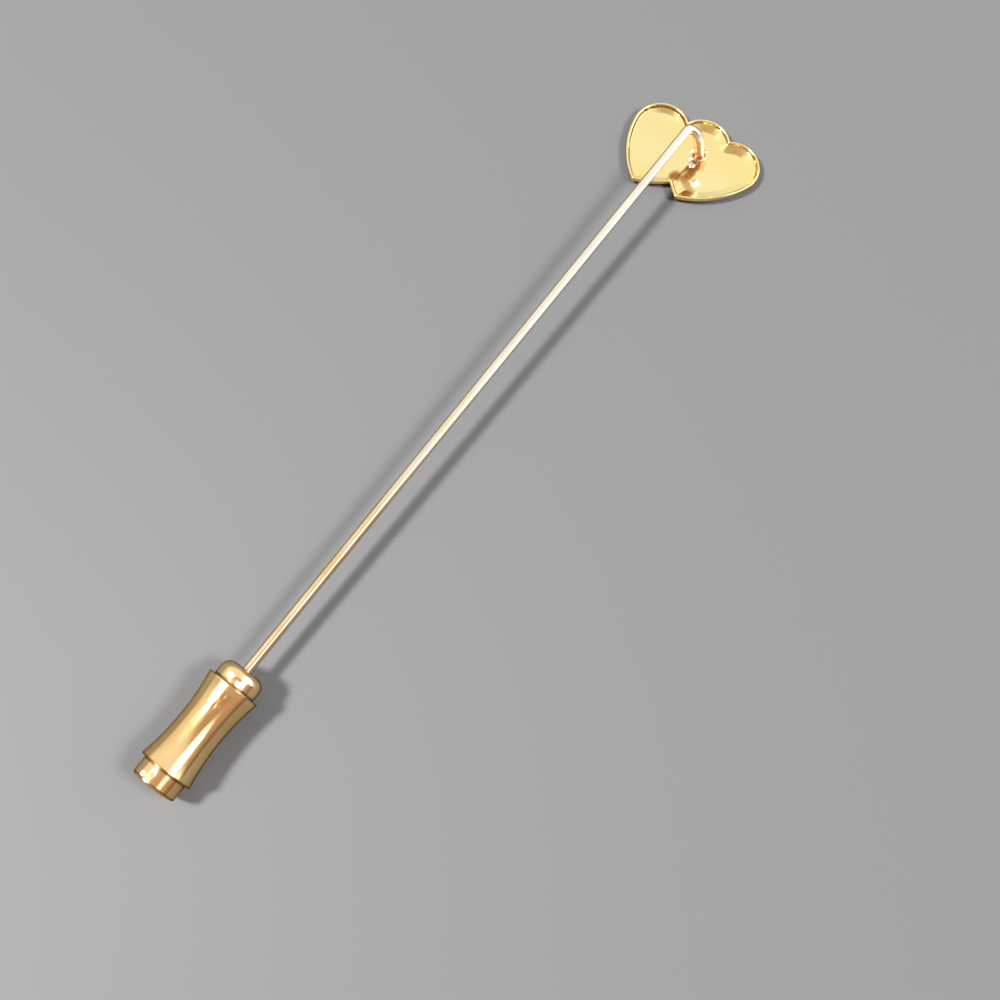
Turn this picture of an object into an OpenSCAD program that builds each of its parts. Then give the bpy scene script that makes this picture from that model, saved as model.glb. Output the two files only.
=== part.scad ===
// Stick pin with a head of two overlapping pressed hearts and a barrel clutch on its point.
// It lies as it was put down: the head on its face, the clutch on the rim nearest its cap.
// Millimetres, +Z up. +X runs along the stem towards the head. The origin is the middle of the
// footprint, on the surface that the pin lies on.

/* [Stem] */
// Diameter of the round wire of the stem and its leg
wire_d = 0.9; // [0.8:0.05:1.0]
// Length from the corner of the bend to the point
stem_len = 76.4; // [60:0.1:90]
// Length of the ground point
point_len = 3; // [2:0.5:5]
// Diameter of the blunt end of the point
point_end_d = 0.16; // [0.1:0.02:0.3]
// Rise of the stem from the clutch to the head, in degrees
slope = 1.36; // [1.2:0.02:1.6]
// Radius of the bend at the middle of the wire
bend_r = 0.8; // [0.7:0.05:1.0]
// How far the leg leans sideways, in degrees from upright
leg_side = 19.5; // [0:0.5:24]
// How far the leg leans towards the top of the head, in degrees from upright
leg_fore = 5; // [0:0.5:8]
// How deep the foot of the leg goes into the sheet
foot_sink = 0.08; // [0.06:0.01:0.1]
// Diameter of the solder round the foot, at the sheet
solder_d = 1.7; // [1.5:0.1:2.2]
// Diameter of the solder where it meets the leg
solder_top_d = 1.05; // [1.0:0.05:1.2]
// Height of the solder
solder_h = 0.32; // [0.2:0.02:0.5]

/* [Hearts] */
// Radius of each lobe
lobe_r = 2.82; // [2.8:0.02:3.1]
// Distance of each lobe's centre from the heart's middle line
lobe_off = 1.86; // [1.7:0.02:1.86]
// Radius of the long side that runs from a lobe to the tip
side_r = 9; // [8:0.1:12]
// Turn of the first heart against the stem, in degrees
heart_turn = 7.5; // [0:0.5:12]
// Turn of the second heart against the first, in degrees
second_turn = 1.7; // [0:0.1:4]
// Place of the first heart's lobes ahead of the bend
heart_ahead = 0.11; // [-0.5:0.01:0.5]
// Place of the first heart's middle line, to the left of the stem
heart_left = 1.32; // [1:0.01:1.6]
// Step from the first heart to the second, forwards
second_ahead = 0.92; // [0.5:0.01:1.3]
// Step from the first heart to the second, to the right
second_right = 4.3; // [3.8:0.01:4.6]

/* [Pressed sheet] */
// Height of the head from its face to its rim
head_h = 1.05; // [1.02:0.01:1.1]
// Thickness of the sheet
sheet = 0.3; // [0.25:0.01:0.35]
// Radius of the rounded edge of the face
press_r = 1.0; // [0.98:0.01:1.04]
// Width of the rounded edge, in from the outline
press_w = 0.94; // [0.9:0.01:0.94]
// Height that the second heart's face stands over the first's
face_step = 0.08; // [0.04:0.01:0.12]
// The same step in the hollow behind
back_step = 0.02; // [0.01:0.01:0.04]

/* [Clutch] */
// Length of the waisted barrel
barrel_len = 8.7; // [7:0.1:10]
// Diameter of the barrel at both rims
rim_d = 5.0; // [4.8:0.05:5.4]
// Diameter of the barrel at its waist
waist_d = 4.2; // [4.0:0.05:4.5]
// Width of the straight lip at each rim
lip = 0.14; // [0.08:0.02:0.3]
// Diameter of the nose
nose_d = 4.1; // [3.8:0.05:4.4]
// Length of the nose outside the barrel
nose_len = 1.75; // [1.4:0.05:2.4]
// Radius of the nose's rounded shoulder
nose_round = 0.95; // [0.6:0.05:1.2]
// Diameter of the cap
cap_d = 4.2; // [3.9:0.05:4.4]
// Length of the cap outside the barrel
cap_len = 1.65; // [1.4:0.05:2.2]
// Radius of the cap's edge
cap_round = 0.2; // [0.1:0.05:0.4]
// Solid metal at the closed end of the cap
cap_floor = 0.8; // [0.6:0.05:1.0]
// Outer diameter of the tube inside the barrel
tube_d = 3.2; // [2.8:0.1:3.4]
// Space between the point and the end of the cap's socket
point_gap = 0.5; // [0.3:0.05:0.8]
// Depth that the nose and the cap go into the ends of the barrel
lap = 0.25; // [0.15:0.05:0.4]
// Width of the bevel round the hole in the nose
hole_bevel = 0.2; // [0.1:0.05:0.3]

/* [Fits] */
// Space between the stem and its hole, on each side
stem_clear = 0.05; // [0.03:0.01:0.08]
// Space between pieces of the clutch, on each side
piece_gap = 0.03; // [0.02:0.01:0.05]

/* [Hidden] */
$fn = 128;
eps = 0.15;
over = 0.1;
// The bend is drawn a hair thinner and runs on into the straight wire at both ends.
bend_thin = 0.01;
bend_on = 4;
far = 30;
wire_r = wire_d / 2;
lobe_flat = lobe_r - press_w;
// A side takes over from its lobe on a line that falls 7 in 24, so both meet on one plane exactly.
joint_cos = 0.96;
joint_sin = 0.28;
joint_turn = asin(joint_sin);
side_x = lobe_off - (side_r - lobe_r) * joint_cos;
side_y = (side_r - lobe_r) * joint_sin;
side_sweep = acos(-side_x / side_r) - joint_turn + 1;
side_reach = press_w + 0.8;
flat_y = side_y - sqrt(pow(side_r - press_w, 2) - pow(side_x, 2));
rim_r = rim_d / 2;
waist_r = waist_d / 2;
flare_len = barrel_len / 2 - lip;
flare_r = (pow(flare_len, 2) + pow(rim_r - waist_r, 2)) / (2 * (rim_r - waist_r));
nose_r = nose_d / 2;
cap_r = cap_d / 2;
tube_r = tube_d / 2;
hole_r = wire_r + stem_clear;
// The tube stops short of the cap's floor, and its hole ends against that floor.
socket_deep = cap_len + lap - cap_floor;
clutch_back = stem_len + point_gap + cap_floor;
seat = clutch_back - cap_len;
bend_h = rim_r * cos(slope) + seat * sin(slope);
leg_turn = 90 - leg_fore;
bend_step = bend_r * tan(leg_turn / 2);
leg_down = cos(leg_fore) * cos(leg_side);
leg_drop = leg_down * cos(slope) - sin(leg_fore) * sin(slope);
leg_len = (bend_h - sheet + foot_sink) / leg_drop;
foot_x = leg_len * (sin(leg_fore) * cos(slope) + leg_down * sin(slope));
foot_y = -leg_len * cos(leg_fore) * sin(leg_side);
turn_1 = -heart_turn;
turn_2 = second_turn - heart_turn;
second_x = heart_ahead + second_ahead;
second_y = heart_left - second_right;
// Ends of the whole pin, measured from the corner of the bend.
front = max(heart_ahead - lobe_off * sin(turn_1), second_x - lobe_off * sin(turn_2)) + lobe_r;
back = -clutch_back * cos(slope) - (cap_r - cap_round) * sin(slope);
left = heart_left + lobe_off * cos(turn_1) + lobe_r;
right = second_y - lobe_off * cos(turn_2) - lobe_r;
mid_x = (front + back) / 2;
mid_y = (left + right) / 2;

// Section of the pressed sheet, from the radius "from" out to the outline at radius r.
// A skin of 0 gives the face and edge, a skin of one sheet gives the hollow behind them.
// Both run on past the rim, where the head is cut level.
module section(r, from, skin) {
    top = head_h + (skin > 0 ? over : 2 * over);
    intersection() {
        translate([from, skin]) square([r - skin - from, top - skin]);
        union() {
            translate([from, skin]) square([r - press_w - from, top]);
            translate([r - press_w, press_r]) circle(r = press_r - skin);
            translate([from, press_r]) square([r - from, top]);
        }
    }
}

// Right half of a pressed heart, with its tip towards -Y.
module half_heart(skin) {
    top = head_h + (skin > 0 ? over : 2 * over);
    intersection() {
        translate([0, -far / 2, -far / 2]) cube([far / 2, far, far]);
        union() {
            translate([lobe_off, 0, 0])
                rotate([0, 0, -joint_turn])
                rotate_extrude(angle = 186 + joint_turn) section(lobe_r, 0, skin);
            translate([side_x, side_y, 0])
                mirror([0, 1, 0])
                rotate([0, 0, joint_turn])
                rotate_extrude(angle = side_sweep) section(side_r, side_r - side_reach, skin);
            translate([0, 0, skin])
                linear_extrude(top - skin)
                polygon([
                    [0, 0],
                    [0, flat_y],
                    [lobe_off + lobe_flat * joint_cos, -lobe_flat * joint_sin],
                    [lobe_off, 0]
                ]);
        }
    }
}

// Both hearts, the first set up from the second by the step of its face.
module hearts(skin, step) {
    translate([heart_ahead, heart_left, step]) rotate([0, 0, turn_1 - 90]) {
        half_heart(skin);
        mirror([1, 0, 0]) half_heart(skin);
    }
    translate([second_x, second_y, 0]) rotate([0, 0, turn_2 - 90]) {
        half_heart(skin);
        mirror([1, 0, 0]) half_heart(skin);
    }
}

module head() {
    difference() {
        hearts(0, face_step);
        hearts(sheet, back_step);
        translate([-far / 2, -far / 2, head_h]) cube(far);
    }
}

// Puts children on the stem's line: +X towards the head, the corner of the bend at the origin.
module on_stem() {
    translate([0, 0, bend_h]) rotate([0, -slope, 0]) children();
}

module wire() {
    on_stem() {
        translate([-stem_len, 0, 0]) rotate([0, 90, 0]) rotate_extrude() polygon([
            [0, 0],
            [point_end_d / 2, 0],
            [wire_r, point_len],
            [wire_r, stem_len - bend_step],
            [0, stem_len - bend_step]
        ]);
        rotate([-leg_side, 0, 0]) {
            translate([-bend_step, 0, -bend_r])
                rotate([-90, 0, 0])
                rotate([0, 0, -90 - bend_on])
                rotate_extrude(angle = leg_turn + 2 * bend_on)
                translate([bend_r, 0]) circle(r = wire_r - bend_thin);
            rotate([0, -leg_fore, 0])
                translate([0, 0, -leg_len])
                cylinder(r = wire_r, h = leg_len - bend_step);
        }
    }
}

module solder() {
    translate([foot_x, foot_y, sheet - foot_sink])
        cylinder(r1 = solder_d / 2, r2 = solder_top_d / 2, h = solder_h + foot_sink);
}

module pin() {
    color("gold") translate([-mid_x, -mid_y, 0]) {
        head();
        wire();
        solder();
    }
}

// Puts children on the clutch's line: +Z towards the head, its closed end at the origin.
module on_clutch() {
    translate([-mid_x, -mid_y, 0])
        on_stem()
        translate([-clutch_back, 0, 0])
        rotate([0, 90, 0]) children();
}

module clutch_tube() {
    top = cap_len + barrel_len + nose_len;
    shoulder = cap_len + barrel_len - lap;
    color("goldenrod") on_clutch() rotate_extrude() difference() {
        union() {
            translate([0, cap_floor + piece_gap]) square([tube_r, top - cap_floor - nose_round]);
            translate([0, shoulder]) square([nose_r, top - shoulder - nose_round]);
            translate([0, shoulder]) square([nose_r - nose_round, top - shoulder]);
            translate([nose_r - nose_round, top - nose_round]) circle(r = nose_round);
        }
        translate([-far, -far]) square([far + hole_r, 2 * far]);
        translate([0, top])
            polygon([[0, eps], [0, -hole_bevel - hole_r], [hole_r + hole_bevel + eps, eps]]);
    }
}

module clutch_barrel() {
    bore = tube_r + piece_gap;
    deep = lap + piece_gap;
    color("gold") on_clutch() translate([0, 0, cap_len]) rotate_extrude() difference() {
        translate([bore, 0]) square([rim_r - bore, barrel_len]);
        translate([waist_r + flare_r, barrel_len / 2]) circle(r = flare_r, $fn = 1200);
        translate([0, -eps]) square([cap_r + piece_gap, deep + eps]);
        translate([0, barrel_len - deep]) square([nose_r + piece_gap, deep + eps]);
    }
}

module clutch_cap() {
    color("goldenrod") on_clutch() rotate_extrude() difference() {
        union() {
            translate([0, cap_round]) square([cap_r, cap_len + lap - cap_round]);
            square([cap_r - cap_round, cap_len + lap]);
            translate([cap_r - cap_round, cap_round]) circle(r = cap_round);
        }
        translate([0, cap_floor]) square([tube_r + piece_gap, socket_deep + eps]);
    }
}

pin();
clutch_tube();
clutch_barrel();
clutch_cap();
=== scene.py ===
"""Looks of a stick pin: a head of two pressed hearts on a bent wire, with a barrel clutch.

Lengths are in millimetres until a mesh is made, apart from the sizes of the panels and the floor,
which are in metres. Places are in the row's frame: +X runs along the stem towards the head, and +Z
is up from the surface that the pin lies on.
"""

from __future__ import annotations

import logging
import math
from collections.abc import Sequence
from dataclasses import dataclass
from enum import Enum

import bmesh
import bpy
import numpy as np
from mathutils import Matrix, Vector


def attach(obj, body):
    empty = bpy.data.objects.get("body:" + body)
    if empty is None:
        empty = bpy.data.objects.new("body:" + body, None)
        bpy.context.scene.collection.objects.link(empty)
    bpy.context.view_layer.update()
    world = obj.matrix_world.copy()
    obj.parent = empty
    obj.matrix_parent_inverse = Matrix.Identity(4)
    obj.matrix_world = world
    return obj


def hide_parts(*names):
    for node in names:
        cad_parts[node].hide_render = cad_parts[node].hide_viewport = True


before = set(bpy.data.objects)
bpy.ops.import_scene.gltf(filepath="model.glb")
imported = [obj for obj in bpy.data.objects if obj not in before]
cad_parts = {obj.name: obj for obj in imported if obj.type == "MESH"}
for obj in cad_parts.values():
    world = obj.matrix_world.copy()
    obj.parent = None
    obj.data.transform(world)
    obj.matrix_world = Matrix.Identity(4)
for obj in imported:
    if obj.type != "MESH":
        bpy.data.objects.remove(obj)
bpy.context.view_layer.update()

LOG = logging.getLogger("stick_pin")
MM = 0.001
Colour = tuple[float, float, float]
Place = tuple[float, float, float]


class Body(Enum):
    """The part's bodies, which the pieces ride on."""

    PIN = "pin"
    CLUTCH = "clutch"


class Slot(Enum):
    """The record's material slots."""

    PIN_GOLD = "pin_gold"
    CLUTCH_GOLD = "clutch_gold"


def as_points(x: np.ndarray, y: np.ndarray, z: np.ndarray) -> np.ndarray:
    """Joins three sets of coordinates into points."""
    return np.stack([x, y, z], axis=-1)


@dataclass(frozen=True)
class Layout:
    """Sizes that the pieces share, as the part has them.

    Attributes:
        wire_r: Radius of the wire.
        stem_len: Length of the stem, from the bend's corner to the point's tip.
        slope: Angle at which the stem rises towards the bend.
        clutch_back: Distance from the bend's corner to the clutch's closed end.
        rim_r: Radius of the barrel's rims, which the clutch lies on.
        cap_len: Length of the clutch's cap.
        sheet: Thickness of the head's sheet.
        head_h: Height of the head.
        middle: Middle of the part's footprint, from the bend's corner.
    """

    wire_r: float = 0.45
    stem_len: float = 76.4
    slope: float = math.radians(1.36)
    clutch_back: float = 77.7
    rim_r: float = 2.5
    cap_len: float = 1.65
    sheet: float = 0.3
    head_h: float = 1.05
    middle: tuple[float, float] = (-36.8427, -0.8332)

    @property
    def bend(self) -> np.ndarray:
        """Finds the corner of the bend.

        Returns:
            Its place in the row's frame.
        """
        seat = self.clutch_back - self.cap_len
        height = self.rim_r * math.cos(self.slope) + seat * math.sin(self.slope)
        return np.array([-self.middle[0], -self.middle[1], height])

    def from_stem(self, points: np.ndarray) -> np.ndarray:
        """Puts points given along the stem's line into the row's frame.

        Args:
            points: Points with the bend's corner at the origin and +X along the stem.

        Returns:
            The same points in the row's frame.
        """
        x, y, z = np.moveaxis(points, -1, 0)
        cos, sin = math.cos(self.slope), math.sin(self.slope)
        return as_points(x * cos - z * sin, y, x * sin + z * cos) + self.bend

    def from_clutch(self, points: np.ndarray) -> np.ndarray:
        """Puts points given along the clutch's axis into the row's frame.

        Args:
            points: Points with the closed end at the origin and +X towards the head.

        Returns:
            The same points in the row's frame.
        """
        return self.from_stem(points - np.array([self.clutch_back, 0.0, 0.0]))


LAYOUT = Layout()


def smooth_step(low: float, high: float, value: np.ndarray) -> np.ndarray:
    """Rises from 0 to 1 as a value goes from low to high.

    Args:
        low: Value at which the rise starts.
        high: Value at which it ends.
        value: The values.

    Returns:
        One number from 0 to 1 for each value.
    """
    t = np.clip((value - low) / (high - low), 0.0, 1.0)
    return t * t * (3.0 - 2.0 * t)


def skin_rings(name: str, rings: np.ndarray, sharp_deg: float) -> bpy.types.Object:
    """Makes one closed mesh from rings of points, with a fan at each end.

    Args:
        name: Name of the new object.
        rings: Points in millimetres, as rings by points round a ring by 3.
        sharp_deg: Edges that turn more than this stay sharp.

    Returns:
        The new object, linked to the scene.
    """
    count, around, _ = rings.shape
    ends = np.stack([rings[0].mean(axis=0), rings[-1].mean(axis=0)])
    vertices = np.concatenate([rings.reshape(-1, 3), ends]) * MM
    first, last = count * around, count * around + 1
    here = np.arange(around)
    beside = (here + 1) % around
    faces: list[tuple[int, ...]] = []
    for row in range(count - 1):
        low, high = row * around, (row + 1) * around
        faces += zip(low + here, low + beside, high + beside, high + here)
    faces += [(first, int(b), int(a)) for a, b in zip(here, beside)]
    top = (count - 1) * around
    faces += [(last, int(top + a), int(top + b)) for a, b in zip(here, beside)]
    mesh = bpy.data.meshes.new(name)
    mesh.from_pydata(vertices.tolist(), [], [tuple(int(i) for i in f) for f in faces])
    mesh.validate()
    work = bmesh.new()
    work.from_mesh(mesh)
    bmesh.ops.recalc_face_normals(work, faces=work.faces)
    work.to_mesh(mesh)
    work.free()
    mesh.shade_smooth()
    mesh.set_sharp_from_angle(angle=math.radians(sharp_deg))
    piece = bpy.data.objects.new(name, mesh)
    bpy.context.scene.collection.objects.link(piece)
    return piece


@dataclass(frozen=True)
class Corner:
    """A corner of a turned outline.

    Attributes:
        along: Distance from the closed end, along the axis.
        radius: Distance from the axis.
        round: Radius of the rounding at this corner, or 0.
    """

    along: float
    radius: float
    round: float = 0.0


def turned_outline(corners: Sequence[Corner], step_deg: float = 9.0) -> np.ndarray:
    """Rounds the corners of an outline with arcs.

    Args:
        corners: The corners in order.
        step_deg: Turn between the points of an arc.

    Returns:
        Points as (along, radius).
    """
    nearly_straight = math.radians(89)
    points = [np.array([c.along, c.radius]) for c in corners]
    outline: list[np.ndarray] = []
    for i, corner in enumerate(corners):
        here = points[i]
        if corner.round <= 0 or i in (0, len(corners) - 1):
            outline.append(here)
            continue
        back, on = points[i - 1] - here, points[i + 1] - here
        back, on = back / np.linalg.norm(back), on / np.linalg.norm(on)
        half = math.acos(float(np.clip(back @ on, -1, 1))) / 2
        if half > nearly_straight:
            outline.append(here)
            continue
        reach = corner.round / math.tan(half)
        middle = here + (back + on) / np.linalg.norm(back + on) * corner.round / math.sin(half)
        start, end = here + back * reach - middle, here + on * reach - middle
        sweep = math.pi - 2 * half
        steps = max(2, math.ceil(math.degrees(sweep) / step_deg))
        for k in range(steps + 1):
            t = k / steps
            blend = (math.sin((1 - t) * sweep) * start + math.sin(t * sweep) * end) / math.sin(sweep)
            outline.append(middle + blend)
    return np.array(outline)


def fill_in(outline: np.ndarray, longest: float, inside: float) -> np.ndarray:
    """Adds points so that no outer step of a turned outline is longer than a limit.

    Args:
        outline: Points as (along, radius).
        longest: Longest step allowed.
        inside: Radius of the bore, where the steps stay as they are.

    Returns:
        The denser outline.
    """
    dense = [outline[0]]
    for a, b in zip(outline[:-1], outline[1:]):
        outer = max(a[1], b[1]) > inside
        parts = math.ceil(float(np.linalg.norm(b - a)) / longest) if outer else 1
        parts = max(1, parts)
        dense += [a + (b - a) * k / parts for k in range(1, parts + 1)]
    return np.array(dense)


class NodeSketch:
    """Builds the node tree of one material."""

    def __init__(self, name: str) -> None:
        """Starts an empty material.

        Args:
            name: Name of the material.
        """
        self.material = bpy.data.materials.new(name)
        self.material.use_nodes = True
        self.tree = self.material.node_tree
        self.tree.nodes.clear()
        self.output = self.tree.nodes.new("ShaderNodeOutputMaterial")
        coordinates = self.tree.nodes.new("ShaderNodeTexCoord")
        self.place = coordinates.outputs["Object"]

    def node(self, kind: str, inputs: dict | None = None, **settings: object) -> bpy.types.Node:
        """Adds a node.

        Args:
            kind: Blender's name of the node type.
            inputs: Values or output sockets for its inputs, by name or number.
            **settings: Values for the node's own properties.

        Returns:
            The new node.
        """
        made = self.tree.nodes.new(kind)
        for key, value in settings.items():
            setattr(made, key, value)
        for key, value in (inputs or {}).items():
            if isinstance(value, bpy.types.NodeSocket):
                self.tree.links.new(value, made.inputs[key])
            else:
                made.inputs[key].default_value = value
        return made

    def maths(self, operation: str, first: object, second: object = 0.0) -> bpy.types.NodeSocket:
        """Adds a maths node and returns its output.

        Args:
            operation: Name of the operation.
            first: Value or socket.
            second: Value or socket.

        Returns:
            The result's socket.
        """
        made = self.node("ShaderNodeMath", {0: first, 1: second}, operation=operation)
        return made.outputs[0]

    def noise(self, scale: float, detail: float = 3.0, stretch: Place | None = None,
              roughness: float = 0.5) -> bpy.types.NodeSocket:
        """Adds a noise texture over the object's own coordinates.

        Args:
            scale: Features per millimetre.
            detail: Octaves.
            stretch: Scale along X, Y and Z before the noise, or None.
            roughness: Weight of the finer octaves.

        Returns:
            The noise's value, from 0 to 1.
        """
        place = self.place
        if stretch is not None:
            mapping = self.node("ShaderNodeMapping", {"Vector": place, "Scale": stretch})
            place = mapping.outputs[0]
        made = self.node("ShaderNodeTexNoise", {"Vector": place, "Scale": scale / MM, "Detail": detail,
                                                "Roughness": roughness})
        return made.outputs["Fac"]

    def ramp(self, value: bpy.types.NodeSocket, low: float, high: float,
             start: float = 0.0, end: float = 1.0) -> bpy.types.NodeSocket:
        """Maps a value smoothly from one span to another.

        Args:
            value: The value's socket.
            low: Start of the value's span.
            high: End of the value's span.
            start: Result at low.
            end: Result at high.

        Returns:
            The mapped value's socket.
        """
        made = self.node("ShaderNodeMapRange", {"Value": value, "From Min": low, "From Max": high,
                                                "To Min": start, "To Max": end},
                         interpolation_type="SMOOTHSTEP")
        return made.outputs[0]

    def mix(self, amount: object, first: object, second: object) -> bpy.types.NodeSocket:
        """Mixes two colours.

        Args:
            amount: Share of the second colour, a value or a socket.
            first: Colour or socket.
            second: Colour or socket.

        Returns:
            The mixed colour's socket.
        """
        made = self.node("ShaderNodeMix", data_type="RGBA")
        for socket, value in ((made.inputs[0], amount), (made.inputs[6], first), (made.inputs[7], second)):
            if isinstance(value, bpy.types.NodeSocket):
                self.tree.links.new(value, socket)
            else:
                socket.default_value = (*value, 1.0) if isinstance(value, tuple) else value
        return made.outputs[2]

    def spot(self, centre: Place, size: Place) -> bpy.types.NodeSocket:
        """Distance from a place, measured in shares of a spot's size.

        Args:
            centre: Middle of the spot, in the row's frame.
            size: Reach of the spot along X, Y and Z.

        Returns:
            A socket that is 0 at the middle and 1 at the spot's edge.
        """
        moved = self.node("ShaderNodeVectorMath",
                          {0: self.place, 1: tuple(c * MM for c in centre)}, operation="SUBTRACT")
        shrunk = self.node("ShaderNodeVectorMath",
                           {0: moved.outputs[0], 1: tuple(1 / (s * MM) for s in size)},
                           operation="MULTIPLY")
        length = self.node("ShaderNodeVectorMath", {0: shrunk.outputs[0]}, operation="LENGTH")
        return length.outputs["Value"]


@dataclass(frozen=True)
class ColourPatch:
    """A patch of another colour on the plate; most are painted shade, painted reflections and painted
    highlights, a few are brown patches.

    Attributes:
        centre: Middle of the patch, in the row's frame.
        size: Reach along X, Y and Z.
        strength: How far it covers the gold, from 0 to 1.
        colour: Its colour, or None for the finish's dark colour of tarnish and painted shade.
        dull: How much rougher it is than the gold.
    """

    centre: Place
    size: Place
    strength: float = 0.8
    colour: Colour | None = None
    dull: float = 0.10


@dataclass(frozen=True)
class GoldFinish:
    """Polished gold plate, with its tints, freckles and marks, and patches of painted shade, painted
    reflection and painted highlight.

    Attributes:
        name: Name of the material.
        base: Colour of the clean plate.
        warm: Colour that it drifts to in broad patches.
        tarnish_and_shade: Colour of the freckles, and of the painted shade and dark reflections that the
            patches lay.
        roughness: Roughness of the clean polish.
        grain: Scale of the polishing marks along X, Y and Z.
        grain_depth: Strength of the polishing marks.
        dimple_depth: Strength of the broad unevenness of the plate.
        colour_patches: Patches of another colour: painted shade, painted dark reflections and highlights,
            and brown patches.
        warm_from: X at which the plate has its base colour and X at which it is all warm, or None.
        streak: Stretch of the patches of dull and bright polish along X, Y and Z.
        painted_shade_below: Height under which the plate is all painted dark, as painted shade and dark
            reflection, and height over which it keeps its colour, or None.
        edge: Tint of the plate where it is seen edge on.
    """

    name: str
    base: Colour
    warm: Colour
    tarnish_and_shade: Colour = (0.30, 0.13, 0.04)
    roughness: float = 0.12
    grain: Place = (0.05, 1.0, 1.0)
    grain_depth: float = 0.05
    dimple_depth: float = 0.05
    colour_patches: tuple[ColourPatch, ...] = ()
    warm_from: tuple[float, float] | None = None
    streak: Place = (1.0, 1.0, 1.0)
    painted_shade_below: tuple[float, float] | None = None
    edge: Colour = (0.62, 0.54, 0.45)

    def tint(self, sketch: NodeSketch) -> bpy.types.NodeSocket:
        """Drifts from the base colour to the warm one, with a few dark freckles.

        Args:
            sketch: The material's nodes.

        Returns:
            The colour's socket.
        """
        patchy, along_wire = 0.25, 0.75
        drift = sketch.ramp(sketch.noise(scale=0.22, detail=2.0), low=0.35, high=0.68)
        if self.warm_from is not None:
            split = sketch.node("ShaderNodeSeparateXYZ", {0: sketch.place})
            along = sketch.ramp(split.outputs[0], self.warm_from[0] * MM, self.warm_from[1] * MM)
            drift = sketch.maths("ADD", sketch.maths("MULTIPLY", drift, patchy),
                                 sketch.maths("MULTIPLY", along, along_wire))
        colour = sketch.mix(drift, self.base, self.warm)
        freckle = sketch.ramp(sketch.noise(scale=5.0, detail=4.0), low=0.70, high=0.84, end=0.2)
        return sketch.mix(freckle, colour, self.tarnish_and_shade)

    def darken_below(self, sketch: NodeSketch, colour: bpy.types.NodeSocket) -> bpy.types.NodeSocket:
        """Paints shade and dark reflection over all that lies below the finish's shade height, with a wavy
        edge.

        Args:
            sketch: The material's nodes.
            colour: Colour before the burn.

        Returns:
            Colour with it.
        """
        if self.painted_shade_below is None:
            return colour
        wave_height = 0.10 * MM
        split = sketch.node("ShaderNodeSeparateXYZ", {0: sketch.place})
        wave = sketch.maths("MULTIPLY", sketch.noise(scale=1.6, detail=3.0), wave_height)
        wavy = sketch.maths("ADD", split.outputs[2], wave)
        shaded = sketch.ramp(wavy, self.painted_shade_below[0] * MM, self.painted_shade_below[1] * MM, 1.0, 0.0)
        return sketch.mix(shaded, colour, self.tarnish_and_shade)

    def colour_patch(self, sketch: NodeSketch, colour: bpy.types.NodeSocket,
              rough: bpy.types.NodeSocket) -> tuple[bpy.types.NodeSocket, bpy.types.NodeSocket]:
        """Lays the patches over the plate, each with a ragged edge; most are painted shade, painted
        reflections and painted highlights.

        Args:
            sketch: The material's nodes.
            colour: Colour before the patches.
            rough: Roughness before them.

        Returns:
            Colour and roughness with them.
        """
        ragged, clean_from, covered_to = 0.7, 1.45, 0.80
        edge_break = sketch.noise(scale=1.5, detail=3.0, roughness=0.55)
        for colour_patch in self.colour_patches:
            reach = sketch.spot(colour_patch.centre, colour_patch.size)
            uneven = sketch.maths("ADD", reach, sketch.maths("MULTIPLY", edge_break, ragged))
            cover = sketch.ramp(uneven, clean_from, covered_to, 0.0, colour_patch.strength)
            colour = sketch.mix(cover, colour, colour_patch.colour or self.tarnish_and_shade)
            rough = sketch.maths("ADD", rough, sketch.maths("MULTIPLY", cover, colour_patch.dull))
        return colour, rough

    def relief(self, sketch: NodeSketch) -> bpy.types.NodeSocket:
        """Gives the plate fine polishing marks over a broad unevenness.

        Args:
            sketch: The material's nodes.

        Returns:
            The bumped normal's socket.
        """
        fine_height, broad_height = 0.02 * MM, 0.1 * MM
        marks = sketch.noise(scale=9.0, detail=3.0, stretch=self.grain)
        fine = sketch.node("ShaderNodeBump", {"Strength": self.grain_depth, "Distance": fine_height,
                                              "Height": marks})
        broad = sketch.node("ShaderNodeBump", {"Strength": self.dimple_depth, "Distance": broad_height,
                                               "Height": sketch.noise(scale=0.6, detail=2.0),
                                               "Normal": fine.outputs[0]})
        return broad.outputs[0]

    def material(self) -> bpy.types.Material:
        """Builds the finish as a node material.

        Returns:
            The new material.
        """
        sketch = NodeSketch(self.name)
        brightest, dullest = self.roughness * 0.85, self.roughness * 1.25
        streaks = sketch.noise(scale=3.0, detail=4.0, stretch=self.streak)
        rough = sketch.ramp(streaks, low=0.3, high=0.75, start=brightest, end=dullest)
        colour, rough = self.colour_patch(sketch, self.darken_below(sketch, self.tint(sketch)), rough)
        shader = sketch.node("ShaderNodeBsdfPrincipled", {
            "Base Color": colour, "Metallic": 1.0, "Roughness": rough, "Normal": self.relief(sketch),
            "Specular Tint": (*self.edge, 1.0)})
        sketch.tree.links.new(shader.outputs[0], sketch.output.inputs["Surface"])
        return sketch.material


def finish_piece(piece: bpy.types.Object, finish: GoldFinish, body: Body, node: str) -> None:
    """Gives a piece its finish, hangs it on its body and hides the node that it replaces.

    Args:
        piece: The piece.
        finish: Its finish.
        body: The body that it rides on.
        node: The node that it replaces.
    """
    piece.data.materials.clear()
    piece.data.materials.append(finish.material())
    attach(piece, body.value)
    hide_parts(node)
    LOG.info("%s: %d faces, on %s", piece.name, len(piece.data.polygons), body.value)


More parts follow.
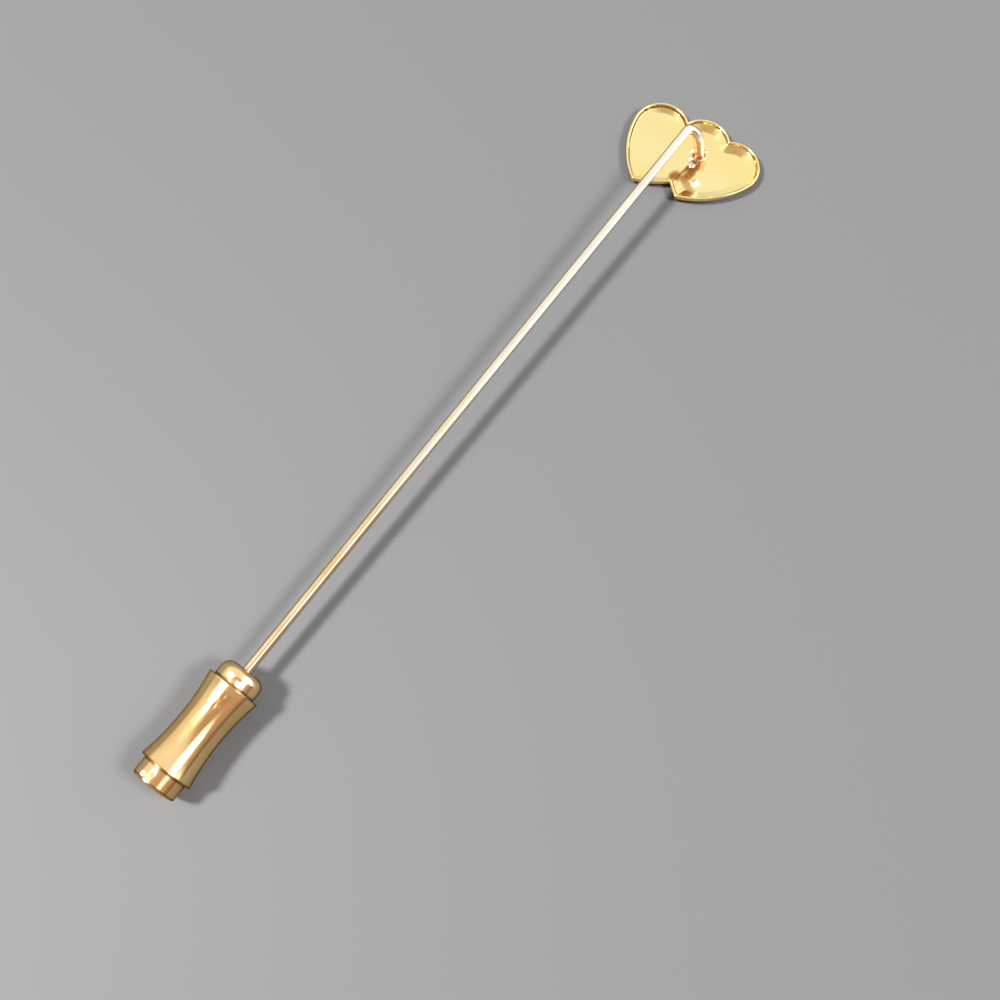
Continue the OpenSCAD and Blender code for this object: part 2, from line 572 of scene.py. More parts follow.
@dataclass(frozen=True)
class Heart:
    """One heart's outline: two round lobes and two long sides that run to a tip.

    Attributes:
        centre: Middle of the line between the lobes' centres, from the bend.
        turn: Turn against the stem, in degrees.
        rise: Height of its face over the surface.
        lobe_r: Radius of a lobe.
        lobe_off: Distance of a lobe's centre from the middle line.
        side_r: Radius of a long side.
        joint_cos: Cosine of the angle, from the lobes' line to the tip, where a lobe meets its side.
        joint_sin: Sine of that angle.
    """

    centre: tuple[float, float]
    turn: float
    rise: float
    lobe_r: float = 2.82
    lobe_off: float = 1.86
    side_r: float = 9.0
    joint_cos: float = 0.96
    joint_sin: float = 0.28

    def depth(self, x: np.ndarray, y: np.ndarray, soft: float = 0.0) -> np.ndarray:
        """Distance inside the outline.

        Args:
            x: Places ahead of the bend.
            y: Places to the left of the stem.
            soft: How far the cleft and the tip are rounded off.

        Returns:
            The distance from the outline, over 0 inside it.
        """
        angle = math.radians(self.turn - 90.0)
        dx, dy = x - self.centre[0], y - self.centre[1]
        across = np.hypot(dx * math.cos(angle) + dy * math.sin(angle), soft)
        up = -dx * math.sin(angle) + dy * math.cos(angle)
        lobe = self.lobe_r - np.hypot(across - self.lobe_off, up)
        reach = self.side_r - self.lobe_r
        side_x = self.lobe_off - reach * self.joint_cos
        side_y = reach * self.joint_sin
        side = self.side_r - np.hypot(across - side_x, up - side_y)
        above = (up - side_y) * self.joint_cos + (across - side_x) * self.joint_sin > 0
        top = math.sqrt(self.lobe_r**2 - self.lobe_off**2)
        cleft = np.hypot(across, top - up)
        faces_lobe = up * self.lobe_off > top * (self.lobe_off - across)
        return np.where(above & faces_lobe, lobe, np.where(above, cleft, np.minimum(side, cleft)))


@dataclass
class HeadShell:
    """The head: two overlapping hearts pressed from one sheet, hollow at the back.

    Attributes:
        first: The heart whose face stands a little off the surface.
        second: The heart whose face lies on it.
        press_r: Radius of the face's rounded edge.
        press_w: Width of the rounded edge.
        flat_inset: How far inside the rounded edge the face's flat rings end.
        hub: Place that the rings spread from, ahead of the bend and to the left.
        around: Points round a ring.
        crease: How far the notches between the hearts are eased at the rim.
        soften: How much more they are eased for each millimetre inside it.
        lip_run: Width of the short lip inside the rim.
        slope: Steepness of the slope inside the lip.
        slope_run: Width of the slope on the second heart.
        first_run: Width of the slope on the first heart.
        slope_bend: Width over which the slope eases into the bowl.
        bowl: Steepness of the bowl at the slope's foot.
        bowl_run: Width of the bowl.
        rim_round: Radius of the rim's rounded crest.
        wall_heights: Heights of the rings on the outer wall.
        wall_uneven: Share by which the rim's thickness varies.
        long_wave: Height of the long waves along the crest.
        short_wave: Height of the short waves along it.
        shy: How far the outline stays inside the solid's.
        dish: Height of the low bulge in each heart's hollow.
        ripple: Height of the waves in the hollow's floor.
    """

    first: Heart = Heart(centre=(0.11, 1.32), turn=-7.5, rise=0.08)
    second: Heart = Heart(centre=(1.03, -2.98), turn=-5.8, rise=0.0)
    press_r: float = 1.0
    press_w: float = 0.94
    flat_inset: float = 0.06
    hub: tuple[float, float] = (-0.7, -0.85)
    around: int = 720
    crease: float = 0.08
    soften: float = 0.34
    lip_run: float = 0.10
    slope: float = math.tan(math.radians(20.5))
    slope_run: float = 0.66
    first_run: float = 0.40
    slope_bend: float = 0.26
    bowl: float = math.tan(math.radians(13.0))
    bowl_run: float = 1.7
    rim_round: float = 0.13
    wall_heights: tuple[float, ...] = (0.78, 0.88)
    wall_uneven: float = 0.06
    long_wave: float = 0.012
    short_wave: float = 0.008
    shy: float = 0.010
    dish: float = 0.04
    ripple: float = 0.010

    def depth(self, x: np.ndarray, y: np.ndarray, soft: np.ndarray) -> np.ndarray:
        """Distance inside the shared outline, with its notches and tips eased.

        Args:
            x: Places ahead of the bend.
            y: Places to the left of the stem.
            soft: How far the notches between the hearts are eased.

        Returns:
            The distance from the outline, over 0 inside it.
        """
        own_soft = soft * 0.4
        one, two = self.first.depth(x, y, own_soft), self.second.depth(x, y, own_soft)
        blend = np.clip(0.5 + 0.5 * (one - two) / soft, 0.0, 1.0)
        return two + (one - two) * blend + soft * 0.5 * blend * (1.0 - blend)

    def place(self, angles: np.ndarray, depth: float | np.ndarray) -> tuple[np.ndarray, np.ndarray]:
        """Finds where each ray from the hub comes within a distance of the outline.

        Args:
            angles: Direction of each ray.
            depth: Distance inside the outline, one for all rays or one for each.

        Returns:
            The places' x and y.
        """
        beyond, halvings = 9.0, 40
        low, high = np.zeros_like(angles), np.full_like(angles, beyond)
        soft = self.crease + self.soften * np.asarray(depth)
        for _ in range(halvings):
            middle = (low + high) / 2
            inside = self.depth(self.hub[0] + middle * np.cos(angles),
                                self.hub[1] + middle * np.sin(angles), soft) > depth
            low, high = np.where(inside, middle, low), np.where(inside, high, middle)
        return self.hub[0] + low * np.cos(angles), self.hub[1] + low * np.sin(angles)

    def rays(self) -> np.ndarray:
        """Finds the directions from the hub that cut the outline into even steps.

        Returns:
            The angles of the rays.
        """
        fine = 7201
        angles = np.linspace(0.0, 2 * math.pi, fine)
        x, y = self.place(angles, 0.0)
        run = np.concatenate([[0.0], np.cumsum(np.hypot(np.diff(x), np.diff(y)))])
        return np.interp(np.linspace(0.0, run[-1], self.around, endpoint=False), run, angles)

    def face_height(self, x: np.ndarray, y: np.ndarray) -> np.ndarray:
        """Height of the face below each place.

        Args:
            x: Places ahead of the bend.
            y: Places to the left of the stem.

        Returns:
            Heights over the surface that the pin lies on.
        """
        heights = []
        for heart in (self.first, self.second):
            inset = np.clip(self.press_w - heart.depth(x, y, self.crease), 0.0, self.press_w)
            heights.append(heart.rise + self.press_r - np.sqrt(self.press_r**2 - inset**2))
        return np.minimum(*heights)

    def hollow_height(self, x: np.ndarray, y: np.ndarray) -> np.ndarray:
        """Height of the hollow: a shallow slope inside the rim, then a floor that bulges a little.

        Args:
            x: Places ahead of the bend.
            y: Places to the left of the stem.

        Returns:
            Heights over the surface that the pin lies on.
        """
        seam, behind, spread, open_floor = 0.9, 1.3, 2.6, 2.4
        on_first = smooth_step(-seam, seam, self.first.depth(x, y) - self.second.depth(x, y))
        steep = self.slope_run + (self.first_run - self.slope_run) * on_first
        rough_depth = np.clip(self.depth(x, y, np.full_like(x, self.crease)), 0.0, 3.0)
        depth = self.depth(x, y, self.crease + self.soften * rough_depth)
        run = np.clip(depth - LAYOUT.sheet - self.lip_run, 0.0, None)
        in_bend = np.clip(steep + self.slope_bend - run, 0.0, self.slope_bend)
        on_slope = np.clip(steep - run, 0.0, None)
        in_bowl = np.clip(steep + self.bowl_run - run, 0.0, None)
        rise = (self.slope - self.bowl) * (in_bend**2 / (2 * self.slope_bend) + on_slope)
        rise += self.bowl * (in_bowl**2 - on_slope**2) / (2 * self.bowl_run)
        bulge = np.zeros_like(x)
        for heart in (self.first, self.second):
            away = np.hypot(x - heart.centre[0] + behind, y - heart.centre[1])
            bulge = np.maximum(bulge, self.dish * np.exp(-((away / spread) ** 2)))
        wave = self.ripple * np.sin(1.1 * x + 0.6) * np.sin(0.9 * y - 0.4)
        return LAYOUT.sheet + rise + smooth_step(self.slope_run, open_floor, run) * (bulge + wave)

    def crest(self, angles: np.ndarray) -> np.ndarray:
        """Height of the rim's crest, which waves a little under the head's full height.

        Args:
            angles: Direction of each ray from the hub.

        Returns:
            Heights over the surface that the pin lies on.
        """
        wave = self.long_wave * (np.sin(3 * angles + 0.7) - 1.0)
        return LAYOUT.head_h + wave + self.short_wave * (np.sin(7 * angles + 2.0) - 1.0)

    def face_rings(self, angles: np.ndarray) -> list[np.ndarray]:
        """Makes the face's rings, from its middle to its outer edge.

        Args:
            angles: Direction of each ray from the hub.

        Returns:
            The rings, from the bend's corner.
        """
        flat_steps, edge_steps = 10, 15
        rings: list[np.ndarray] = []
        flat_x, flat_y = self.place(angles, self.press_w + self.flat_inset)
        for share in np.linspace(0.02, 1.0, flat_steps):
            x = self.hub[0] + (flat_x - self.hub[0]) * share
            y = self.hub[1] + (flat_y - self.hub[1]) * share
            rings.append(as_points(x, y, self.face_height(x, y)))
        for depth in np.linspace(self.press_w, self.shy, edge_steps)[1:]:
            x, y = self.place(angles, float(depth))
            rings.append(as_points(x, y, self.face_height(x, y)))
        return rings

    def rim_rings(self, angles: np.ndarray) -> list[np.ndarray]:
        """Makes the rim's rings, up the outer wall and over the rounded crest.

        Args:
            angles: Direction of each ray from the hub.

        Returns:
            The rings, from the bend's corner.
        """
        r = self.rim_round
        round_foot = self.crest(angles) - r
        wall = LAYOUT.sheet * (1.0 + self.wall_uneven * np.sin(2 * angles + 1.0))
        x, y = self.place(angles, self.shy)
        rings = [as_points(x, y, np.full_like(x, height)) for height in self.wall_heights]
        quarter = np.radians(np.linspace(0.0, 90.0, 6))
        for turn in quarter:
            x, y = self.place(angles, self.shy + r - r * math.cos(turn))
            rings.append(as_points(x, y, round_foot + r * math.sin(turn)))
        for turn in quarter[::-1]:
            x, y = self.place(angles, wall - r + r * math.cos(turn))
            rings.append(as_points(x, y, round_foot + r * math.sin(turn)))
        return rings

    def hollow_rings(self, angles: np.ndarray) -> list[np.ndarray]:
        """Makes the hollow's rings, down the lip and in to the hub, closer together near the lip.

        Args:
            angles: Direction of each ray from the hub.

        Returns:
            The rings, from the bend's corner.
        """
        innermost, floor_steps, crowding = 0.985, 84, 1.3
        rings: list[np.ndarray] = []
        lip = self.crest(angles) - self.rim_round
        foot_x, foot_y = self.place(angles, LAYOUT.sheet + self.lip_run)
        foot = self.hollow_height(foot_x, foot_y)
        for part in (0.3, 0.6, 0.85):
            x, y = self.place(angles, LAYOUT.sheet + self.lip_run * part)
            rings.append(as_points(x, y, lip + (foot - lip) * part))
        for part in np.linspace(0.0, innermost, floor_steps):
            near = 1.0 - part**crowding
            x = self.hub[0] + (foot_x - self.hub[0]) * near
            y = self.hub[1] + (foot_y - self.hub[1]) * near
            rings.append(as_points(x, y, self.hollow_height(x, y)))
        return rings

    def build(self) -> bpy.types.Object:
        """Makes the head's mesh, from the face's middle round the rim to the hollow's middle.

        Returns:
            The new piece.
        """
        angles = self.rays()
        points = np.array(self.face_rings(angles) + self.rim_rings(angles) + self.hollow_rings(angles))
        points[..., :2] += LAYOUT.bend[:2]
        return skin_rings("head", points, sharp_deg=60.0)

    def dress(self) -> None:
        """Builds the head and gives it its finish."""
        finish_piece(self.build(), HEAD_GOLD, Body.PIN, "pin")


@dataclass
class PinWire:
    """The stem, its bend and the short leg, one round wire with a ground point.

    Attributes:
        point_len: Length of the ground point.
        point_end_r: Radius near the point's tip.
        tip_r: Radius of the tip itself.
        bend_start: Place along the stem where the straight stretch ends.
        leg_marks: Places on the middle line of the bowed leg, as ahead, left and up from the corner.
        leg_r: Radius of the leg at its foot.
        swell: Drops below the corner between which the leg thickens.
        burr_at: Place of the burr that the bending left.
        burr_reach: Reach of the burr.
        burr_height: Height of the burr.
        around: Points round the wire.
    """

    point_len: float = 3.0
    point_end_r: float = 0.08
    tip_r: float = 0.03
    bend_start: float = -0.75
    leg_marks: tuple[Place, ...] = (
        (-0.40, -0.02, -0.03), (-0.10, -0.14, -0.14), (0.10, -0.42, -0.42), (0.25, -0.76, -0.92),
        (0.35, -1.02, -1.56), (0.39, -1.19, -2.30), (0.42, -1.33, -3.20), (0.43, -1.43, -4.10))
    leg_r: float = 0.50
    swell: tuple[float, float] = (0.3, 1.6)
    burr_at: Place = (0.17, 0.30, 0.10)
    burr_reach: float = 0.24
    burr_height: float = 0.11
    around: int = 56

    def leg(self, steps: int = 16) -> np.ndarray:
        """Draws the middle line of the bend and the bowed leg, as a smooth curve through the marks.

        Args:
            steps: Points between two marks.

        Returns:
            Points on the stem's line, from the end of its straight stretch to the leg's foot.
        """
        marks = np.array([(self.bend_start - 0.5, 0.0, 0.0), (self.bend_start, 0.0, 0.0), *self.leg_marks])
        marks = np.concatenate([marks, [2 * marks[-1] - marks[-2]]])
        t = np.linspace(0.0, 1.0, steps, endpoint=False)[:, None]
        line = [(marks[i] * 2 + (marks[i + 1] - marks[i - 1]) * t
                 + (2 * marks[i - 1] - 5 * marks[i] + 4 * marks[i + 1] - marks[i + 2]) * t**2
                 + (3 * marks[i] - marks[i - 1] - 3 * marks[i + 1] + marks[i + 2]) * t**3) / 2
                for i in range(1, len(marks) - 2)]
        return np.concatenate(line)

    def path(self) -> tuple[np.ndarray, np.ndarray]:
        """Draws the wire's middle line, with its radius along it.

        Returns:
            Points on the stem's line, and a radius for each.
        """
        start = LAYOUT.stem_len
        ogive, point_steps, stem_steps = 0.85, 14, 220
        point = np.linspace(0.0, self.point_len, point_steps)
        taper = self.point_end_r + (LAYOUT.wire_r - self.point_end_r) * np.sin(
            0.5 * math.pi * point / self.point_len) ** ogive
        taper[0] = self.tip_r
        stem = np.linspace(-start + self.point_len, self.bend_start, stem_steps)[1:-1]
        leg = self.leg()
        straight = [as_points(x, 0.0 * x, 0.0 * x) for x in (point - start, stem)]
        thicker = (self.leg_r - LAYOUT.wire_r) * smooth_step(*self.swell, -leg[:, 2])
        radius = np.concatenate([taper, np.full(len(stem), LAYOUT.wire_r), LAYOUT.wire_r + thicker])
        return np.concatenate([*straight, leg]), radius

    def build(self) -> bpy.types.Object:
        """Makes the wire's mesh, with the burr on its corner.

        Returns:
            The new piece.
        """
        line, radius = self.path()
        ahead = np.gradient(line, axis=0)
        ahead /= np.linalg.norm(ahead, axis=1, keepdims=True)
        turn = np.linspace(0.0, 2 * math.pi, self.around, endpoint=False)
        across = np.array([0.0, 1.0, 0.0])
        rings = []
        for centre, way, r in zip(line, ahead, radius):
            across = across - way * (across @ way)
            across /= np.linalg.norm(across)
            up = np.cross(way, across)
            out = np.outer(np.cos(turn), across) + np.outer(np.sin(turn), up)
            skin = centre + r * out
            near = np.linalg.norm(skin - np.array(self.burr_at), axis=1) / self.burr_reach
            rings.append(skin + out * (self.burr_height * np.exp(-near**2))[:, None])
        return skin_rings("stem_wire", LAYOUT.from_stem(np.array(rings)), sharp_deg=70.0)

    def dress(self) -> None:
        """Builds the wire and gives it its finish."""
        finish_piece(self.build(), WIRE_GOLD, Body.PIN, "pin")


@dataclass(frozen=True)
class Bead:
    """A rounded lump of solder.

    Attributes:
        ahead: Place ahead of the bend.
        left: Place to the left of the stem.
        radius: Reach of the lump.
        height: Height over the hollow's floor.
    """

    ahead: float
    left: float
    radius: float
    height: float


@dataclass
class SolderPool:
    """Solder on the hollow's floor: lumps that run into each other.

    Attributes:
        name: Name of the piece.
        finish: Its finish.
        beads: The lumps.
        middle: Middle of the pool, ahead of the bend and to the left.
        reach: Reach of the pool's skin.
        around: Points round a ring.
        steps: Rings from the middle to the edge.
        sink: How far the skin lies under the floor beyond the lumps.
        skirt: How far its edge goes down into the sheet.
        uneven: Share by which a lump's outline varies.
    """

    name: str
    finish: GoldFinish
    beads: tuple[Bead, ...]
    middle: tuple[float, float]
    reach: float
    around: int = 144
    steps: int = 64
    sink: float = 0.014
    skirt: float = 0.08
    uneven: float = 0.04

    def height(self, x: np.ndarray, y: np.ndarray) -> np.ndarray:
        """Height of the solder over the floor.

        Args:
            x: Places ahead of the bend.
            y: Places to the left of the stem.

        Returns:
            The heights, close to 0 beyond the lumps.
        """
        shoulder, blend, ahead_phase, left_phase = 1.4, 3, 9.0, 5.0
        total = np.zeros_like(x)
        for bead in self.beads:
            turn = np.arctan2(y - bead.left, x - bead.ahead)
            reach = bead.radius * (1.0 + self.uneven * np.sin(3 * turn + ahead_phase * bead.ahead)
                                   + self.uneven * np.sin(2 * turn + left_phase * bead.left))
            far = np.hypot(x - bead.ahead, y - bead.left) / reach
            lump = bead.height * np.sqrt(np.clip(1.0 - far**2, 0.0, 1.0)) ** shoulder
            total = (total**blend + lump**blend) ** (1 / blend)
        return total

    def build(self, shell: HeadShell) -> bpy.types.Object:
        """Makes the solder's mesh, which reaches a little into the sheet.

        Args:
            shell: The head, whose hollow it lies in.

        Returns:
            The new piece.
        """
        turn = np.linspace(0.0, 2 * math.pi, self.around, endpoint=False)
        rings = []
        for share in np.linspace(0.01, 1.0, self.steps):
            x = self.middle[0] + self.reach * share * np.cos(turn)
            y = self.middle[1] + self.reach * share * np.sin(turn)
            rings.append(as_points(x, y, shell.hollow_height(x, y) - self.sink + self.height(x, y)))
        rings.append(rings[-1] - np.array([0.0, 0.0, self.skirt]))
        points = np.array(rings)
        points[..., :2] += LAYOUT.bend[:2]
        return skin_rings(self.name, points, sharp_deg=80.0)

    def dress(self, shell: HeadShell) -> None:
        """Builds the solder in the head's hollow and gives it its finish."""
        finish_piece(self.build(shell), self.finish, Body.PIN, "pin")


@dataclass(frozen=True)
class Dent:
    """A small dent or ridge on a turned piece.

    Attributes:
        along: Place along the axis, from the closed end.
        turn: Place round the axis, in degrees from straight up, positive to the left of the stem.
        size: Reach along the axis and round it.
        depth: Depth, or a height if it is below 0.
    """

    along: float
    turn: float
    size: tuple[float, float]
    depth: float


@dataclass(frozen=True)
class ClutchMark:
    """A patch of another colour on the clutch's outside.

    Attributes:
        along: Place along the axis, from the closed end.
        turn: Place round the axis, in degrees from straight up, positive to the left of the stem.
        size: Reach.
        strength: How far it covers the gold.
    """

    along: float
    turn: float
    size: float
    strength: float = 0.95


@dataclass
class BarrelClutch:
    """The clutch: a tube with a round nose, a waisted barrel over it and a cap on its end.

    Attributes:
        barrel_len: Length of the barrel.
        waist_r: Radius of the barrel's waist.
        lip: Length of the straight lip at each end of the barrel.
        lip_round: Radius of the lip's outer edge.
        bore_round: Radius of the edge inside each lip.
        nose_r: Radius of the nose.
        nose_len: How far the nose stands out of the barrel.
        shoulder: Radius of the nose's round shoulder.
        mouth_flare: How much wider than the hole the nose's mouth is.
        mouth_len: Length over which the mouth narrows to the hole.
        cap_r: Radius of the cap.
        cap_floor: Distance from the closed end to the bottom of the cap's socket.
        cap_recess: Depth of the shallow recess in the cap's end.
        recess_r: Radius of the recess's flat floor.
        recess_rim_r: Radius of the recess's rim.
        axis_r: Radius at which an outline near the axis ends.
        tube_r: Radius of the tube inside the barrel.
        gap: Gap between two of the clutch's pieces.
        lap: How far the nose and the cap go into the barrel.
        hole_r: Radius of the hole that the wire goes into.
        outside_r: Distance from the axis to the middle of a mark.
        longest: Longest step of an outline on the outside.
        uneven: Depth of the slow waves round the axis.
        around: Points round the clutch.
        scuffs: Dents and ridges on its outside.
        brown: Brown patches on its outside.
        painted_glints: Spots on the dents that are painted pale and made rougher, as painted highlights.
    """

    barrel_len: float = 8.7
    waist_r: float = 2.1
    lip: float = 0.14
    lip_round: float = 0.06
    bore_round: float = 0.03
    nose_r: float = 2.05
    nose_len: float = 1.75
    shoulder: float = 0.9
    mouth_flare: float = 0.22
    mouth_len: float = 0.25
    cap_r: float = 2.1
    cap_floor: float = 0.8
    cap_recess: float = 0.06
    recess_r: float = 1.45
    recess_rim_r: float = 1.6
    axis_r: float = 0.02
    tube_r: float = 1.6
    gap: float = 0.03
    lap: float = 0.25
    hole_r: float = 0.5
    outside_r: float = 2.15
    longest: float = 0.07
    uneven: float = 0.004
    around: int = 300
    scuffs: tuple[Dent, ...] = (
        Dent(11.0, 11.2, (0.17, 0.17), -0.02), Dent(11.5, -21.4, (0.17, 0.16), -0.02),
        Dent(10.75, -19.1, (0.15, 0.16), -0.02), Dent(9.90, -20.5, (0.16, 0.13), -0.02),
        Dent(10.9, -8.0, (0.20, 0.18), 0.035), Dent(9.3, -12.0, (0.30, 0.14), 0.030),
        Dent(8.6, -20.0, (0.30, 0.14), 0.025), Dent(8.2, -8.0, (0.26, 0.12), 0.020),
        Dent(7.4, 2.0, (0.45, 0.09), 0.014), Dent(6.3, 10.0, (0.6, 0.08), 0.010),
        Dent(5.2, -30.0, (0.6, 0.09), 0.014), Dent(3.1, 14.0, (0.5, 0.10), 0.012),
        Dent(0.55, 26.0, (0.15, 0.15), -0.02), Dent(0.25, 8.0, (0.13, 0.13), -0.01),
        Dent(1.0, 2.0, (0.22, 0.14), 0.025))
    brown: tuple[ClutchMark, ...] = (
        ClutchMark(9.2, -12.0, 0.80, 0.50), ClutchMark(8.3, -20.0, 0.75, 0.45),
        ClutchMark(10.75, -6.0, 0.55, 0.50), ClutchMark(1.0, -12.0, 0.50, 0.45))
    # Painted highlights: pale, rougher spots over the dents near the nose and on the cap.
    painted_glints: tuple[ClutchMark, ...] = (
        ClutchMark(11.0, 11.2, 0.36), ClutchMark(11.5, -21.4, 0.36), ClutchMark(10.75, -19.1, 0.34),
        ClutchMark(9.90, -20.5, 0.32), ClutchMark(0.55, 26.0, 0.34), ClutchMark(0.10, 8.0, 0.28))

    def on_clutch(self, mark: ClutchMark, colour: Colour, dull: float) -> ColourPatch:
        """Makes a mark on the clutch's outside.

        Args:
            mark: The mark's place, reach and strength.
            colour: Its colour.
            dull: How much rougher it is than the gold.

        Returns:
            The mark, in the row's frame.
        """
        angle = math.radians(mark.turn)
        place = np.array([mark.along, self.outside_r * math.sin(angle), self.outside_r * math.cos(angle)])
        middle = LAYOUT.from_clutch(place)
        size = (mark.size, mark.size, mark.size)
        return ColourPatch(tuple(float(c) for c in middle), size, mark.strength, colour, dull)

    def seam(self, along: float, width: float) -> ColourPatch:
        """Makes a thin line of painted shade round the clutch.

        Args:
            along: Place along the axis, from the closed end.
            width: Reach along the axis.

        Returns:
            The line, in the row's frame.
        """
        whole_way_round = 9.0
        middle = LAYOUT.from_clutch(np.array([along, 0.0, 0.0]))
        return ColourPatch(tuple(float(c) for c in middle), (width, whole_way_round, whole_way_round), 0.85)

    def marks(self) -> tuple[ColourPatch, ...]:
        """Makes the lines of painted shade at the seams, the brown patches and the painted highlights on
        the dents.

        Returns:
            The marks, in the row's frame.
        """
        # Colour of the painted highlights on the dents, and their added roughness.
        glint_colour, glint_dull = (0.98, 0.92, 0.78), 0.30
        brown_colour, brown_dull = (0.66, 0.36, 0.14), 0.10
        end = LAYOUT.cap_len + self.barrel_len
        beside, seam_width = 0.02, 0.20
        # Painted shade: dark lines in the seams between the barrel, the cap and the nose, and at the cap's
        # end edge.
        seam_shade = (self.seam(LAYOUT.cap_len - beside, seam_width), self.seam(end + beside, seam_width),
                 self.seam(0.17, 0.09))
        brown = tuple(self.on_clutch(mark, brown_colour, brown_dull) for mark in self.brown)
        painted_glints = tuple(self.on_clutch(mark, glint_colour, glint_dull) for mark in self.painted_glints)
        return seam_shade + brown + painted_glints

    def turn_piece(self, name: str, outline: np.ndarray) -> bpy.types.Object:
        """Turns an outline round the clutch's axis, with the scuffs on its outside.

        Args:
            name: Name of the piece.
            outline: Points as (along, radius), from the axis or closed on itself.

        Returns:
            The new piece.
        """
        finer, twist, finer_twist = 0.6, 0.35, 0.5
        turn = np.linspace(0.0, 2 * math.pi, self.around, endpoint=False)
        rings = []
        for along, radius in outline:
            r = np.full_like(turn, radius)
            if radius > self.tube_r:
                wave = np.sin(2 * turn + twist * along) + finer * np.sin(3 * turn - finer_twist * along)
                r += self.uneven * (wave - (1.0 + finer))
                for dent in self.scuffs:
                    off = (turn - math.radians(dent.turn) + math.pi) % (2 * math.pi) - math.pi
                    far = ((along - dent.along) / dent.size[0]) ** 2 + (off * radius / dent.size[1]) ** 2
                    r -= dent.depth * np.exp(-far)
            rings.append(as_points(np.full_like(turn, along), r * np.sin(turn), r * np.cos(turn)))
        return skin_rings(name, LAYOUT.from_clutch(np.array(rings)), sharp_deg=40.0)

    def barrel_outline(self) -> np.ndarray:
        """Draws the waisted barrel, outside and then back through its bore.

        Returns:
            Points as (along, radius).
        """
        start = LAYOUT.cap_len
        end = start + self.barrel_len
        waist_steps = 61
        half = self.barrel_len / 2 - self.lip
        drop = LAYOUT.rim_r - self.waist_r
        flare_r = (half**2 + drop**2) / (2 * drop)
        reach = np.linspace(-half, half, waist_steps)
        waist = np.stack([start + self.barrel_len / 2 + reach,
                          self.waist_r + flare_r - np.sqrt(flare_r**2 - reach**2)], axis=-1)
        bore, deep = self.tube_r + self.gap, self.lap + self.gap
        tail = turned_outline([
            Corner(start + deep, bore), Corner(start + deep, self.cap_r + self.gap),
            Corner(start, self.cap_r + self.gap, self.bore_round),
            Corner(start, LAYOUT.rim_r, self.lip_round), Corner(start + self.lip, LAYOUT.rim_r)])
        nose = turned_outline([
            Corner(end - self.lip, LAYOUT.rim_r), Corner(end, LAYOUT.rim_r, self.lip_round),
            Corner(end, self.nose_r + self.gap, self.bore_round),
            Corner(end - deep, self.nose_r + self.gap), Corner(end - deep, bore),
            Corner(start + deep, bore)])
        return fill_in(np.concatenate([tail, waist[1:-1], nose]), self.longest, bore)

    def nose_outline(self) -> np.ndarray:
        """Draws the tube and its round nose.

        Returns:
            Points as (along, radius).
        """
        tail = self.cap_floor + self.gap
        end = LAYOUT.cap_len + self.barrel_len
        top = end + self.nose_len
        outline = turned_outline([
            Corner(tail, self.hole_r), Corner(tail, self.tube_r, 0.1),
            Corner(end - self.lap, self.tube_r), Corner(end - self.lap, self.nose_r, 0.05),
            Corner(top, self.nose_r, self.shoulder), Corner(top, self.hole_r + self.mouth_flare, 0.12),
            Corner(top - self.mouth_len, self.hole_r, 0.1), Corner(tail, self.hole_r)])
        return fill_in(outline, self.longest, self.tube_r)

    def cap_outline(self) -> np.ndarray:
        """Draws the closed cap and its socket.

        Returns:
            Points as (along, radius).
        """
        end = LAYOUT.cap_len + self.lap
        socket = self.tube_r + self.gap
        outline = turned_outline([
            Corner(self.cap_recess, self.axis_r), Corner(self.cap_recess, self.recess_r, 0.1),
            Corner(0.0, self.recess_rim_r, 0.08), Corner(0.0, self.cap_r, 0.22),
            Corner(end, self.cap_r, 0.04), Corner(end, socket, 0.03),
            Corner(self.cap_floor, socket, 0.05), Corner(self.cap_floor, self.axis_r)])
        return fill_in(outline, self.longest, socket)

    def dress(self) -> None:
        """Builds the tube, the barrel and the cap, and gives them their finish."""
        for name, outline, node in (("clutch_nose", self.nose_outline(), "clutch_tube"),
                                    ("clutch_sleeve", self.barrel_outline(), "clutch_barrel"),
                                    ("clutch_end_cap", self.cap_outline(), "clutch_cap")):
            piece = self.turn_piece(name, outline)
            finish_piece(piece, CLUTCH_GOLD, Body.CLUTCH, node)


@dataclass(frozen=True)
class Panel:
    """A soft light: a flat panel that faces the pin.

    Attributes:
        name: Name of the light.
        lean_x: Lean from overhead towards the head, in degrees.
        lean_y: Lean from overhead to the left of the stem, in degrees.
        width: Length of its level sides, in metres.
        depth: Length of its sloping sides, in metres.
        power: Power, in watts.
        away: Distance from the pin, in metres.
        mirrored: Whether polished metal mirrors the panel itself.
    """

    name: str
    lean_x: float
    lean_y: float
    width: float
    depth: float
    power: float
    away: float = 1.6
    mirrored: bool = True

    def build(self, target: Vector) -> None:
        """Makes the light and turns it to the pin.

        Args:
            target: Place that it faces.
        """
        data = bpy.data.lights.new(self.name, "AREA")
        data.shape = "RECTANGLE"
        data.size = self.width
        data.size_y = self.depth
        data.energy = self.power
        lamp = bpy.data.objects.new(self.name, data)
        lamp.visible_glossy = self.mirrored
        way = Vector((math.tan(math.radians(self.lean_x)), math.tan(math.radians(self.lean_y)), 1.0))
        way.normalize()
        lamp.location = target + way * self.away
        lamp.rotation_euler = way.to_track_quat("Z", "Y").to_euler()
        bpy.context.scene.collection.objects.link(lamp)


